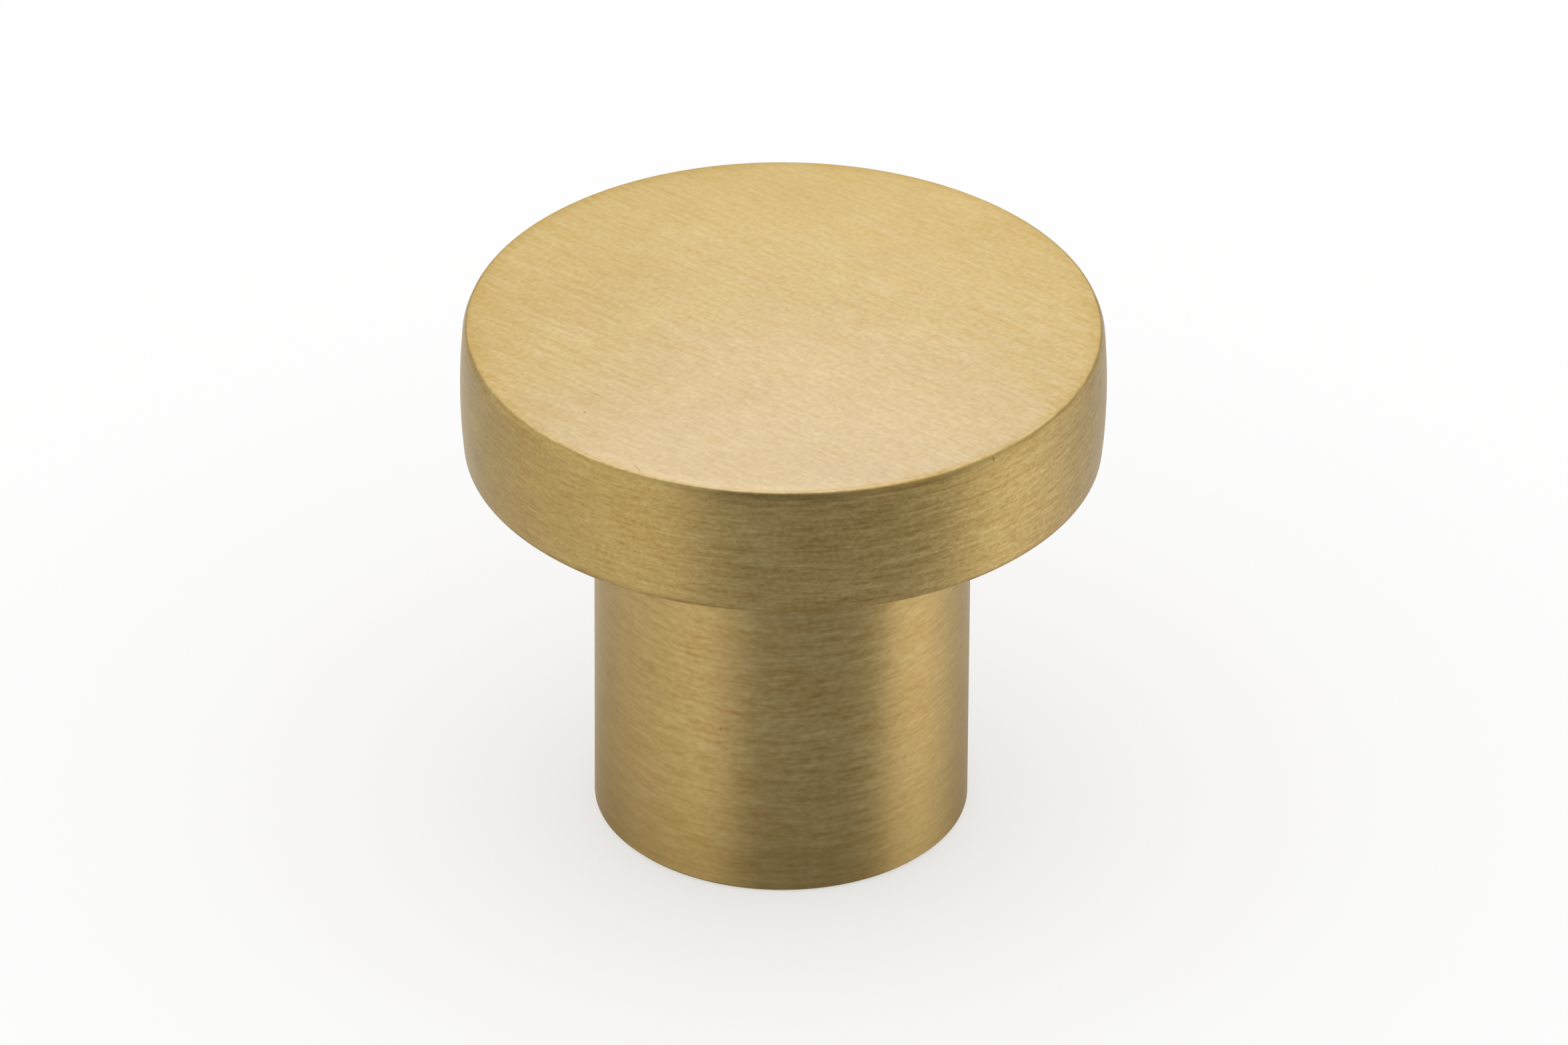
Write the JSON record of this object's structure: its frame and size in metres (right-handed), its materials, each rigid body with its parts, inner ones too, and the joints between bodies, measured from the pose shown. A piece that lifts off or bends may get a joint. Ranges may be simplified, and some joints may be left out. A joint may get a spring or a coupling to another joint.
{
  "type": "cabinet knob",
  "caption": "Round disc knob on a plain round stem, turned from solid brass with a brushed finish, fixed through a cabinet door or drawer front by a screw into its base.",
  "frame": {"origin": "centre of the flat base, where the screw hole opens and the knob seats on the cabinet front", "axes": "+Z along the turning axis, from the cabinet front out through the stem and the head"},
  "size_m": [0.035, 0.035, 0.03],
  "materials": {
    "brass": "brushed satin"
  },
  "bodies": {
    "root": {"knob": "brass"}
  },
  "joints": []
}
